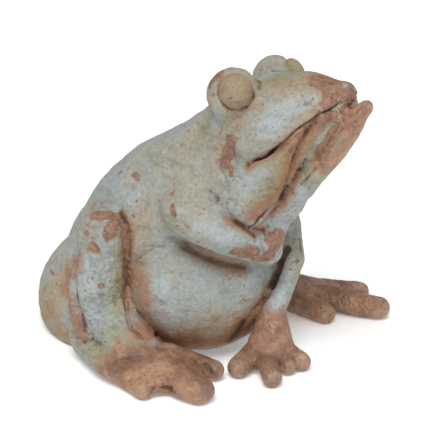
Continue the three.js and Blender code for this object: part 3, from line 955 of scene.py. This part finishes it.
# Each coat begins to show at one value of its mask, is whole at another, and covers at most so much.
# Its edge is made ragged by so much of the patches, the small grain and the grit.
coats = {
    "washWarm": {"begins": 0.38, "whole": 0.62, "patches": 0.5},
    "washPale": {"begins": 0.48, "whole": 0.72, "most": 0.7},
    "chalk": {"begins": 0.2, "whole": 0.9, "most": 0.85, "patches": 1.2},
    "tan": {"begins": 0.1, "whole": 1.1, "most": 0.8, "patches": 1.4, "small": 0.5},
    "moss": {"begins": 0.1, "whole": 1, "most": 0.7, "patches": 1.2},
    "earthPale": {"begins": 0.35, "whole": 0.65},
    "earth": {"begins": 0.22, "whole": 0.5, "patches": 0.4, "small": 0.3},
    "rust": {"begins": 0.1, "whole": 1, "most": 0.9, "patches": 0.9, "small": 0.7},
    "strokes": {"begins": 0.48, "whole": 0.75, "most": 0.5},
    "stipple": {"begins": 0.5, "whole": 0.8, "most": 0.6},
    "dips": {"begins": 0.6, "whole": 3.5, "most": 0.6, "small": 2},
    # painted shade in the small hollows
    "hollows": {"begins": 0.05, "whole": 0.4, "most": 0.75, "small": 0.3},
    # painted highlight on what sticks out
    "ridges": {"begins": 0.06, "whole": 0.4, "most": 0.35, "small": 0.3},
    "clayPale": {"begins": 0.25, "whole": 0.75, "grit": 0.8},
    "flecks": {"begins": 0.645, "whole": 0.675, "most": 0.8, "patches": 0.3},
    "rim": {"begins": 0.3, "whole": 0.42, "most": 0.35, "patches": 0.8, "small": 1.7, "grit": 0.5},
    "worn": {"begins": 0.42, "whole": 0.48, "patches": 0.8, "small": 1.7, "grit": 0.5},
    "chips": {"begins": 0.71, "whole": 0.74},
    # painted shade along the creases, slits and pits
    "creaseShade": {"begins": 0.35, "whole": 0.95, "most": 0.9, "small": 0.3},
    "pitRims": {"begins": 0.06, "whole": 0.12},
    "pitted": {"begins": 0.47, "whole": 0.58},
    "peel": {"begins": 0.4, "whole": 0.75},
}
covers = {"worn": 0.92, "chips": 0.7, "pits": 0.8, "peel": 0.45, "gritShade": 0.7} # for masks with other uses too
relief = {"grit": 0.9, "small": 1.2, "strokes": 1.1, "worn": -0.3, "pits": -0.9, "peel": -1.8} # millimetres
gritShades = {"dark": tone(0.4, 0.37, 0.33), "pale": tone(1.5, 1.52, 1.54)}
mixed = {"rustPaint": 0.95, "flecksInHollows": -0.1, "chipsOnWorn": 0.03} # how one mask acts on another


def firedClay(name, looks):
    clay = Shader(name)
    bare, rust, moss, chalk, creaseShade = (clay.painted(kind) for kind in ("bare", "rust", "moss", "chalk", "creaseShade"))
    earth, tan, peel = (clay.painted(kind) for kind in ("earth", "tan", "peel"))
    hollows, dips, raw = (clay.painted(kind) for kind in ("hollows", "dips", "raw"))
    grain = {kind: clay.noise(**settings) for kind, settings in grains.items()}
    broad, patches, small, grit, strokes = (grain[kind] for kind in ("broad", "patches", "small", "grit", "strokes"))
    centred = {kind: grain[kind] - 0.5 for kind in ("patches", "small", "grit")}

    # How much of a coat shows where its mask has this value.
    def shows(coat, mask):
        settings = coats[coat]
        for kind, wave in centred.items():
            if kind in settings:
                mask = mask + wave * settings[kind]
        amount = clay.step(mask, settings["begins"], settings["whole"])
        return amount * settings["most"] if "most" in settings else amount

    # The wash, with what weather and clay have made of it
    colour = clay.blend(shows("washWarm", broad), looks["wash"], looks["washWarm"])
    colour = clay.blend(shows("washPale", patches), colour, looks["washPale"])
    colour = clay.blend(shows("chalk", chalk), colour, looks["chalk"])
    colour = clay.blend(shows("tan", tan), colour, looks["tan"])
    colour = clay.blend(shows("moss", moss), colour, looks["moss"])
    brown = clay.blend(shows("earthPale", patches), looks["earthDark"], looks["earthPale"])
    colour = clay.blend(shows("earth", earth), colour, brown)
    glaze = clay.blend(small, looks["rust"], looks["rustPale"])
    colour = clay.blend(shows("rust", rust * mixed["rustPaint"]), colour, glaze)
    colour = clay.blend(shows("strokes", strokes), colour, looks["washDeep"], mode="MULTIPLY")
    colour = clay.blend(shows("stipple", small), colour, looks["washDeep"], mode="MULTIPLY")

    # Rust gathers in what is sunk, painted shade darkens the small hollows, and a painted highlight makes the wash
    # paler on what sticks out.
    colour = clay.blend(shows("dips", dips), colour, looks["rust"])
    colour = clay.blend(shows("hollows", hollows), colour, looks["paintedShade"])
    colour = clay.blend(shows("ridges", hollows * -1), colour, looks["ridge"])

    # Bare clay shows in flecks and worn places, with a rusty rim round each, and white chips lie on it.
    worn = shows("worn", bare)
    bareClay = clay.blend(shows("clayPale", small), looks["clay"], looks["clayPale"])
    colour = clay.blend(shows("flecks", grain["flecks"] + hollows * mixed["flecksInHollows"]), colour, bareClay)
    colour = clay.blend(shows("rim", bare), colour, looks["rust"])
    colour = clay.blend(worn * covers["worn"], colour, bareClay)
    chips = shows("chips", grain["chips"] + (worn + peel) * mixed["chipsOnWorn"])
    colour = clay.blend(chips * covers["chips"], colour, looks["chip"])
    # Painted shade along the creases, slits and pits that the marks trace
    colour = clay.blend(shows("creaseShade", creaseShade), colour, looks["paintedShade"])

    # Pits darkened with painted shade, and skin like that of a peel on the legs
    pits = (1 - shows("pitRims", clay.cells(looks["pitEvery"]))) * shows("pitted", patches)
    colour = clay.blend(pits * covers["pits"], colour, looks["paintedShade"])
    warts = clay.cells(looks["peelEvery"], "SMOOTH_F1", Smoothness=0.6)
    colour = clay.blend(peel * shows("peel", warts) * covers["peel"], colour, looks["washDeep"], mode="MULTIPLY")
    gritty = clay.blend(grit, gritShades["dark"], gritShades["pale"])
    colour = clay.blend(covers["gritShade"], colour, gritty, mode="MULTIPLY")
    colour = clay.blend(raw, colour, looks["rawClay"])

    height = grit * relief["grit"] + small * relief["small"] + strokes * relief["strokes"]
    height = height + worn * relief["worn"] + pits * relief["pits"] + peel * warts * relief["peel"]
    roughness = looks["roughness"] + worn * looks["wornGloss"] + earth * small * looks["earthGloss"]
    return clay.finish(colour, roughness, height)


washLooks = {
    "wash": tone(0.34, 0.37, 0.36),
    "washWarm": tone(0.36, 0.345, 0.27),
    "washPale": tone(0.43, 0.46, 0.45),
    "washDeep": tone(0.58, 0.54, 0.46),
    "chalk": tone(0.41, 0.465, 0.485),
    "tan": tone(0.37, 0.275, 0.16),
    "moss": tone(0.28, 0.28, 0.13),
    "rust": tone(0.24, 0.088, 0.034),
    "rustPale": tone(0.42, 0.19, 0.085),
    "earthDark": tone(0.20, 0.10, 0.06),
    "earthPale": tone(0.44, 0.245, 0.15),
    # near-black painted shade, for hollows, creases and pits
    "paintedShade": tone(0.05, 0.018, 0.009),
    "clay": tone(0.20, 0.10, 0.065),
    "clayPale": tone(0.34, 0.195, 0.13),
    "rawClay": tone(0.42, 0.2, 0.11),
    "chip": tone(0.55, 0.5, 0.42),
    # painted highlight on what sticks out
    "ridge": tone(0.46, 0.40, 0.32),
    "roughness": 0.85,
    "wornGloss": -0.1, # added to the roughness
    "earthGloss": -0.5,
    "pitEvery": 7, # millimetres
    "peelEvery": 4.5,
}
wornLooks = {**washLooks, "roughness": 0.68, "wornGloss": -0.25, "pitEvery": 6}
eyeLooks = {
    **washLooks,
    "wash": tone(0.36, 0.29, 0.18),
    "washWarm": tone(0.30, 0.215, 0.13),
    "washPale": tone(0.40, 0.37, 0.27),
    "roughness": 0.75,
}
finishes = {
    "wash": firedClay("worn pale wash", washLooks),
    "worn": firedClay("rubbed brown clay", wornLooks),
    "eye": firedClay("tan eye wash", eyeLooks),
}
slots = {
    **dict.fromkeys(["right_eyeball", "left_eyeball"], "eye"),
    **dict.fromkeys(["right_hand", "left_hand", "right_foot", "left_foot"], "worn"),
}
for name, piece in pieces.items():
    slot = slots.get(name, "wash")
    piece.data.materials.clear()
    piece.data.materials.append(finishes[slot])
    only(piece)
    bpy.ops.object.shade_smooth_by_angle(angle=math.radians(sculpt["sharpAngle"]))
    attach(piece, "root")
    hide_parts(name)
print("finished:", len(finishes), "materials on", len(pieces), "pieces")

# Camera: which way it stands from the frog, in degrees, and how far, in units
view = {"turn": -53, "rise": 21, "distance": 600, "lookAt": (0, 14.8, 43.7), "lens": 157, "clipEnd": 100}
turn, rise = math.radians(view["turn"]), math.radians(view["rise"])
back = Vector((math.sin(turn) * math.cos(rise), -math.cos(turn) * math.cos(rise), math.sin(rise)))
bpy.ops.object.camera_add(location=place(view["lookAt"]) + back * view["distance"] * unit)
camera = bpy.context.object
camera.rotation_euler = back.to_track_quat("Z", "Y").to_euler()
camera.data.lens = view["lens"]
camera.data.clip_end = view["clipEnd"]
bpy.context.scene.camera = camera

studio = {
    "floorSize": 60,
    "paper": {
        "Base Color": tone(0.92, 0.92, 0.92),
        "Roughness": 0.9,
        "Emission Color": tone(1, 1, 1),
        "Emission Strength": 0.2,
    },
    "room": {"Color": tone(1, 1, 1), "Strength": 0.38},
    "lights": {
        "key": {"towards": (-0.7, -0.4, 1.4), "strength": 2.3, "spread": 30},
        "fill": {"towards": (0.5, -1.2, 0.7), "strength": 0.3, "spread": 60},
    },
}
bpy.ops.mesh.primitive_plane_add(size=studio["floorSize"], location=(0, 0, 0))
floor = bpy.context.object
floor.name = "floor"
paper = Shader("paper")
for name, value in studio["paper"].items():
    paper.feed(paper.surface, name, value)
floor.data.materials.append(paper.material)


def softLight(name, towards, strength, spread):
    bpy.ops.object.light_add(type="SUN", location=Vector(towards))
    light = bpy.context.object
    light.name = name
    light.data.energy = strength
    light.data.angle = math.radians(spread)
    light.rotation_euler = Vector(towards).to_track_quat("Z", "Y").to_euler()


for name, light in studio["lights"].items():
    softLight(name, **light)
bpy.context.scene.view_settings.view_transform = "Standard"
world = bpy.data.worlds.new("studio")
world.use_nodes = True
for name, value in studio["room"].items():
    world.node_tree.nodes["Background"].inputs[name].default_value = value
bpy.context.scene.world = world
print("camera, floor and lights set")
